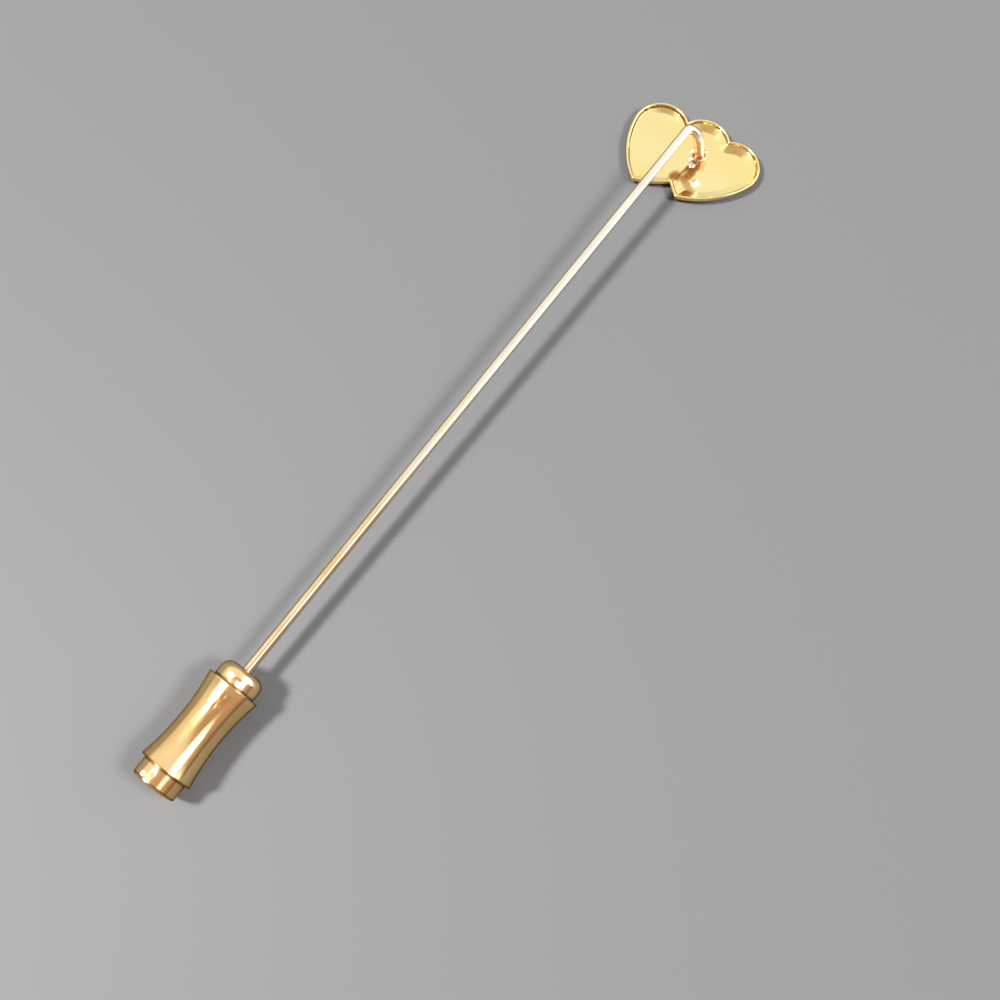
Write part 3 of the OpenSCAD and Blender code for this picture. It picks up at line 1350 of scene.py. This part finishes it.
@dataclass(frozen=True)
class Glow:
    """A side of the room that is brighter than the rest.

    Attributes:
        way: Direction of the side.
        low: Cosine to that direction at which the glow starts.
        high: Cosine at which it is full.
        colour: Its radiance.
    """

    way: Place
    low: float
    high: float
    colour: Colour

    def over(self, tree: bpy.types.NodeTree, way: bpy.types.NodeSocket,
             under: bpy.types.NodeSocket) -> bpy.types.NodeSocket:
        """Lays the glow over the rest of the room.

        Args:
            tree: The world's node tree.
            way: The direction's socket.
            under: Colour without this glow.

        Returns:
            Colour with it.
        """
        share = tree.nodes.new("ShaderNodeVectorMath")
        share.operation = "DOT_PRODUCT"
        share.inputs[1].default_value = self.way
        rise = tree.nodes.new("ShaderNodeMapRange")
        rise.interpolation_type = "SMOOTHSTEP"
        rise.inputs["From Min"].default_value = self.low
        rise.inputs["From Max"].default_value = self.high
        blend = tree.nodes.new("ShaderNodeMix")
        blend.data_type = "RGBA"
        blend.inputs[7].default_value = (*self.colour, 1.0)
        tree.links.new(way, share.inputs[0])
        tree.links.new(share.outputs["Value"], rise.inputs["Value"])
        tree.links.new(rise.outputs[0], blend.inputs[0])
        tree.links.new(under, blend.inputs[6])
        return blend.outputs[2]


@dataclass
class Studio:
    """A plain pale floor, soft panels and a camera at the photo's angle.

    Attributes:
        floor_size: Side of the floor, in metres.
        floor_colour: Colour of the floor.
        dim_sky: Light of the room where no glow is.
        glows: The room's brighter sides.
        horizon: Heights between which the room gets lighter, and its strength at the lower one.
        lens: Focal length on a sensor 36 mm wide.
        camera_height: Height of the camera over the floor.
        tilt: Tilt of the camera from straight down.
        stem_turn: Angle between the stem and the picture's level lines, seen from straight above.
        bend_from_camera: How far the bend is to the right of the camera, and how far ahead of it.
        aim: Place that the panels face.
        panels: The soft panels.
    """

    floor_size: float = 3.0
    floor_colour: Colour = (0.067, 0.067, 0.0684)
    dim_sky: Colour = (0.60, 0.44, 0.36)
    glows: tuple[Glow, ...] = (
        Glow((0.96, 0.28, 0.0), -0.12, 0.06, (1.05, 1.04, 1.02)),
        Glow((0.62, -0.75, 0.25), 0.88, 0.96, (5.0, 5.0, 5.0)),
        Glow((0.119, -0.652, 0.750), 0.955, 0.985, (3.2, 3.2, 3.9)),
    )
    horizon: tuple[float, float, float] = (0.0, 0.46, 0.32)
    lens: float = 48.6
    camera_height: float = 116.12
    tilt: float = math.radians(18.0)
    stem_turn: float = math.radians(52.816)
    bend_from_camera: tuple[float, float] = (18.180, 73.859)
    aim: Place = (0.0, 0.0, 3.0)
    panels: tuple[Panel, ...] = (
        Panel("key_panel", -21.0, 26.0, 0.24, 0.24, 71.0),
        Panel("fill_panel", 9.0, -36.5, 0.34, 0.32, 51.0, mirrored=False),
    )

    def build_floor(self) -> None:
        """Makes the floor."""
        half = self.floor_size / 2
        mesh = bpy.data.meshes.new("floor")
        mesh.from_pydata([(-half, -half, 0), (half, -half, 0), (half, half, 0), (-half, half, 0)], [],
                         [(0, 1, 2, 3)])
        floor = bpy.data.objects.new("floor", mesh)
        bpy.context.scene.collection.objects.link(floor)
        sketch = NodeSketch("pale_floor")
        shader = sketch.node("ShaderNodeBsdfPrincipled", {
            "Base Color": (*self.floor_colour, 1.0), "Roughness": 0.6, "Specular IOR Level": 0.3})
        sketch.tree.links.new(shader.outputs[0], sketch.output.inputs["Surface"])
        mesh.materials.append(sketch.material)

    def build_sky(self) -> None:
        """Sets the soft light of the room, which is brighter towards some sides."""
        world = bpy.data.worlds.new("room")
        world.use_nodes = True
        tree = world.node_tree
        way = tree.nodes.new("ShaderNodeTexCoord").outputs["Generated"]
        colour = tree.nodes.new("ShaderNodeRGB").outputs[0]
        colour.default_value = (*self.dim_sky, 1.0)
        for glow in self.glows:
            colour = glow.over(tree, way, colour)
        height = tree.nodes.new("ShaderNodeSeparateXYZ")
        rise = tree.nodes.new("ShaderNodeMapRange")
        rise.interpolation_type = "SMOOTHSTEP"
        rise.inputs["From Min"].default_value = self.horizon[0]
        rise.inputs["From Max"].default_value = self.horizon[1]
        rise.inputs["To Min"].default_value = self.horizon[2]
        tree.links.new(way, height.inputs[0])
        tree.links.new(height.outputs[2], rise.inputs["Value"])
        tree.links.new(rise.outputs[0], tree.nodes["Background"].inputs["Strength"])
        tree.links.new(colour, tree.nodes["Background"].inputs["Color"])
        bpy.context.scene.world = world

    def build_camera(self) -> None:
        """Makes the camera, which looks down on the pin with the head away from it."""
        data = bpy.data.cameras.new("camera")
        data.lens = self.lens
        data.sensor_width = 36.0
        data.clip_start = 0.005
        data.clip_end = 10.0
        camera = bpy.data.objects.new("camera", data)
        x, y = -self.bend_from_camera[0], -self.bend_from_camera[1]
        cos, sin = math.cos(self.stem_turn), math.sin(self.stem_turn)
        bend = LAYOUT.bend
        camera.location = Vector((x * cos + y * sin + bend[0], -x * sin + y * cos + bend[1],
                                  self.camera_height)) * MM
        camera.rotation_euler = (self.tilt, 0.0, -self.stem_turn)
        bpy.context.scene.collection.objects.link(camera)
        bpy.context.scene.camera = camera

    def build(self) -> None:
        """Makes the whole studio."""
        self.build_floor()
        self.build_sky()
        for panel in self.panels:
            panel.build(Vector(self.aim) * MM)
        self.build_camera()
        bpy.context.scene.view_settings.view_transform = "Standard"


def painted_reflection_on_dish(ahead: float, left: float, size: float, strength: float, colour: Colour | None = None) -> ColourPatch:
    """Makes a patch of painted dark reflection on the hollow's floor, where it mirrors the leg and the
    bend.

    Args:
        ahead: Place ahead of the bend.
        left: Place to the left of the stem.
        size: Reach.
        strength: How far it covers the gold.
        colour: Its colour, or None for the finish's dark colour of tarnish and painted shade.

    Returns:
        The patch, in the row's frame.
    """
    bend = LAYOUT.bend
    return ColourPatch((float(bend[0]) + ahead, float(bend[1]) + left, 0.4), (size, size, 0.7), strength, colour)


# Colours of the painted reflection of the leg in the hollow.
AMBER_REFLECTION = (0.90, 0.50, 0.10)
RUSSET_REFLECTION = (0.62, 0.34, 0.12)
HEAD_GOLD = GoldFinish(
    "pale_gold_plate", (0.93, 0.785, 0.385), (0.93, 0.75, 0.31), tarnish_and_shade=(0.40, 0.14, 0.015),
    roughness=0.10, dimple_depth=0.010,
    # Painted dark reflection: brown, amber and russet patches along the streak where the hollow mirrors the
    # leg and the bend.
    colour_patches=(
        painted_reflection_on_dish(-0.75, -2.30, 0.60, 0.70, AMBER_REFLECTION), painted_reflection_on_dish(-0.15, -2.20, 0.50, 0.50, AMBER_REFLECTION),
        painted_reflection_on_dish(0.30, -1.15, 0.50, 0.92), painted_reflection_on_dish(-0.10, -1.45, 0.56, 0.92),
        painted_reflection_on_dish(-0.50, -1.75, 0.56, 0.90), painted_reflection_on_dish(-0.88, -1.92, 0.54, 0.90),
        painted_reflection_on_dish(-1.25, -1.97, 0.46, 0.90), painted_reflection_on_dish(-1.70, -2.00, 0.48, 0.90),
        painted_reflection_on_dish(-2.20, -1.95, 0.50, 0.85), painted_reflection_on_dish(-2.75, -1.85, 0.58, 0.80),
        painted_reflection_on_dish(-3.05, -2.30, 0.52, 0.75, RUSSET_REFLECTION), painted_reflection_on_dish(-3.35, -2.75, 0.50, 0.75, RUSSET_REFLECTION),
        painted_reflection_on_dish(-3.65, -3.25, 0.60, 0.70, RUSSET_REFLECTION), painted_reflection_on_dish(-3.04, -0.98, 0.82, 0.90)))
WIRE_GOLD = GoldFinish(
    "wire_gold", (0.94, 0.89, 0.73), (0.74, 0.53, 0.27), roughness=0.15, warm_from=(22.0, -22.0),
    dimple_depth=0.01, streak=(0.12, 1.0, 1.0), tarnish_and_shade=(0.40, 0.15, 0.02),
    colour_patches=(
        # Painted highlight: a near-white, rougher patch over the upper leg, like a wash of solder, for the
        # white highlight on its right side.
        ColourPatch((37.30, -0.60, 2.2), (1.3, 1.7, 2.8), 0.95, (1.0, 0.98, 0.94), 0.24),
        # Painted dark reflection down the leg's left side, and painted shade where the leg's foot meets the
        # floor.
        ColourPatch((36.52, 0.13, 1.1), (0.76, 1.2, 2.9), 0.95), ColourPatch((36.9, -0.3, 0.3), (0.9, 1.1, 0.5), 0.85)))
SOLDER = GoldFinish(
    "solder", (0.92, 0.85, 0.64), (0.90, 0.78, 0.50), tarnish_and_shade=(0.34, 0.13, 0.02), roughness=0.26,
    # Painted shade: the solder darkens towards the hollow's floor.
    painted_shade_below=(0.372, 0.420))
BRIGHT_SOLDER = GoldFinish("bright_solder", (0.95, 0.90, 0.74), (0.94, 0.86, 0.60), roughness=0.24)
CLUTCH_GOLD = GoldFinish(
    "deep_gold_plate", (0.93, 0.69, 0.34), (0.84, 0.55, 0.24), roughness=0.14, dimple_depth=0.01,
    # Painted shade: the dark edge tint darkens the flanks that are seen edge on.
    edge=(0.42, 0.35, 0.28), streak=(0.15, 1.0, 1.0), tarnish_and_shade=(0.26, 0.11, 0.035),
    colour_patches=BarrelClutch().marks())
FOOT_SOLDER = SolderPool("solder_foot", SOLDER, (
    Bead(0.46, -1.45, 0.62, 0.05), Bead(0.47, -0.66, 0.33, 0.12), Bead(-0.34, -1.04, 0.28, 0.12),
    Bead(-0.98, -1.53, 0.34, 0.12), Bead(-0.80, -1.42, 0.20, 0.10), Bead(0.34, -2.02, 0.28, 0.12),
    Bead(0.14, -2.00, 0.18, 0.09), Bead(1.07, -1.74, 0.20, 0.10), Bead(-0.25, -1.50, 0.62, 0.04)),
    (-0.1, -1.5), 1.7)
STRAY_SOLDER = SolderPool("solder_drop", BRIGHT_SOLDER, (
    Bead(-2.45, -3.00, 0.48, 0.07), Bead(-2.20, -2.92, 0.30, 0.05)), (-2.4, -2.98), 0.7)


def main() -> None:
    """Builds the studio, the pin and its clutch."""
    logging.basicConfig(level=logging.INFO, format="%(message)s")
    Studio().build()
    shell = HeadShell()
    shell.dress()
    PinWire().dress()
    FOOT_SOLDER.dress(shell)
    STRAY_SOLDER.dress(shell)
    BarrelClutch().dress()


if __name__ == "__main__":
    main()
